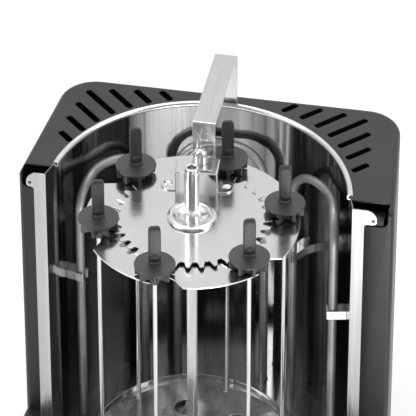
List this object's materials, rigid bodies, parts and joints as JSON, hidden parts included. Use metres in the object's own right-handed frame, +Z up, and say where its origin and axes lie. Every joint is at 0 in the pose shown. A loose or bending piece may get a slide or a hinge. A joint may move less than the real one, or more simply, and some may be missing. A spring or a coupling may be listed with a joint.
{
  "type": "rotisserie oven",
  "caption": "Open-front vertical rotisserie oven with a mirror reflector, tubular heaters and a geared cage that turns upright skewers under a top arm.",
  "frame": {"origin": "middle of the footprint, on the table, under the feet", "axes": "+Z up along the spindle, +Y to the rear, the open front faces -Y, +X to the right seen from the front"},
  "size_m": [0.2986, 0.308, 0.4212],
  "materials": {
    "black_plastic": "fine grain",
    "black_steel": "satin black enamel",
    "satin_steel": "brushed",
    "grey_metal": "zinc plated",
    "knob_plastic": "satin",
    "lamp_red": "clear moulded",
    "steel_rod": "polished",
    "bright_steel": "bright annealed sheet",
    "chrome": "polished",
    "heater_steel": "dark heat-toned sheath",
    "ceramic_white": "glazed",
    "black_rubber": "matt",
    "head_plastic": "satin moulded"
  },
  "bodies": {
    "oven": {"base_housing": "black_plastic", "base_plate": "black_steel", "foot_1": "black_rubber", "foot_2": "black_rubber", "foot_3": "black_rubber", "foot_4": "black_rubber", "control_panel": "satin_steel", "timer_unit": "grey_metal", "rocker_frame": "knob_plastic", "indicator_lamp": "lamp_red", "drive_motor": "grey_metal", "motor_bracket": "grey_metal", "sun_gear": "bright_steel", "hub_tube": "chrome", "saddle": "chrome", "saddle_rivets": "chrome", "locating_peg": "chrome", "arm_socket": "grey_metal", "reflector": "bright_steel", "rim_bead": "bright_steel", "front_strip_left": "bright_steel", "front_strip_right": "bright_steel", "housing_shell": "black_steel", "top_plate": "black_steel", "hinge_block_left": "black_plastic", "hinge_block_right": "black_plastic", "chamber_floor": "satin_steel", "heater_left": "heater_steel", "heater_rear": "heater_steel", "heater_right": "heater_steel", "heater_clips": "satin_steel", "heater_terminals": "ceramic_white", "terminal_block": "ceramic_white", "thermal_cutout": "grey_metal", "cord_gland": "black_rubber", "housing_screws": "grey_metal"},
    "cage": {"spindle": "steel_rod", "lower_disc": "bright_steel", "disc_hub": "steel_rod", "tip_sockets": "steel_rod", "carrier_disc": "bright_steel", "drive_coupler": "grey_metal"},
    "timer": {"timer_knob": "knob_plastic", "timer_shaft": "grey_metal"},
    "rocker": {"power_rocker": "knob_plastic"},
    "arm": {"arm": "satin_steel"},
    "tray": {"drip_tray": "bright_steel"},
    "skewer_1": {"skewer_head_1": "head_plastic", "skewer_rod_1": "steel_rod"},
    "skewer_2": {"skewer_head_2": "head_plastic", "skewer_rod_2": "steel_rod"},
    "skewer_3": {"skewer_head_3": "head_plastic", "skewer_rod_3": "steel_rod"},
    "skewer_4": {"skewer_head_4": "head_plastic", "skewer_rod_4": "steel_rod"},
    "skewer_5": {"skewer_head_5": "head_plastic", "skewer_rod_5": "steel_rod"},
    "skewer_6": {"skewer_head_6": "head_plastic", "skewer_rod_6": "steel_rod"}
  },
  "joints": [
    {"name": "cage_spin", "type": "hinge", "parent": "oven", "child": "cage", "pos_m": [0, -0.034, 0.2], "axis": [0, 0, 1], "continuous": true},
    {"name": "timer_turn", "type": "hinge", "parent": "oven", "child": "timer", "pos_m": [0, -0.14, 0.05], "axis": [0, -1, 0], "range_deg": [-300, 0]},
    {"name": "rocker_tip", "type": "hinge", "parent": "oven", "child": "rocker", "pos_m": [-0.038, -0.1295, 0.05], "axis": [1, 0, 0], "range_deg": [0, 12]},
    {"name": "arm_lift", "type": "slide", "parent": "oven", "child": "arm", "axis": [0, 0, 1], "range_m": [0, 0.05]},
    {"name": "tray_slide", "type": "slide", "parent": "oven", "child": "tray", "axis": [0, -1, 0], "range_m": [0, 0.12]},
    {"name": "skewer_1_spin", "type": "hinge", "parent": "cage", "child": "skewer_1", "pos_m": [0.06808, -0.01214, 0.25], "axis": [0, 0, 1], "continuous": true},
    {"name": "skewer_2_spin", "type": "hinge", "parent": "cage", "child": "skewer_2", "pos_m": [0.01511, 0.03589, 0.25], "axis": [0, 0, 1], "continuous": true},
    {"name": "skewer_3_spin", "type": "hinge", "parent": "cage", "child": "skewer_3", "pos_m": [-0.05297, 0.01403, 0.25], "axis": [0, 0, 1], "continuous": true},
    {"name": "skewer_4_spin", "type": "hinge", "parent": "cage", "child": "skewer_4", "pos_m": [-0.06808, -0.05586, 0.25], "axis": [0, 0, 1], "continuous": true},
    {"name": "skewer_5_spin", "type": "hinge", "parent": "cage", "child": "skewer_5", "pos_m": [-0.01511, -0.10389, 0.25], "axis": [0, 0, 1], "continuous": true},
    {"name": "skewer_6_spin", "type": "hinge", "parent": "cage", "child": "skewer_6", "pos_m": [0.05297, -0.08203, 0.25], "axis": [0, 0, 1], "continuous": true}
  ],
  "couplings": [
    {"joint": "skewer_1_spin", "follows": "cage_spin", "ratio": 4.5},
    {"joint": "skewer_2_spin", "follows": "cage_spin", "ratio": 4.5},
    {"joint": "skewer_3_spin", "follows": "cage_spin", "ratio": 4.5},
    {"joint": "skewer_4_spin", "follows": "cage_spin", "ratio": 4.5},
    {"joint": "skewer_5_spin", "follows": "cage_spin", "ratio": 4.5},
    {"joint": "skewer_6_spin", "follows": "cage_spin", "ratio": 4.5}
  ]
}
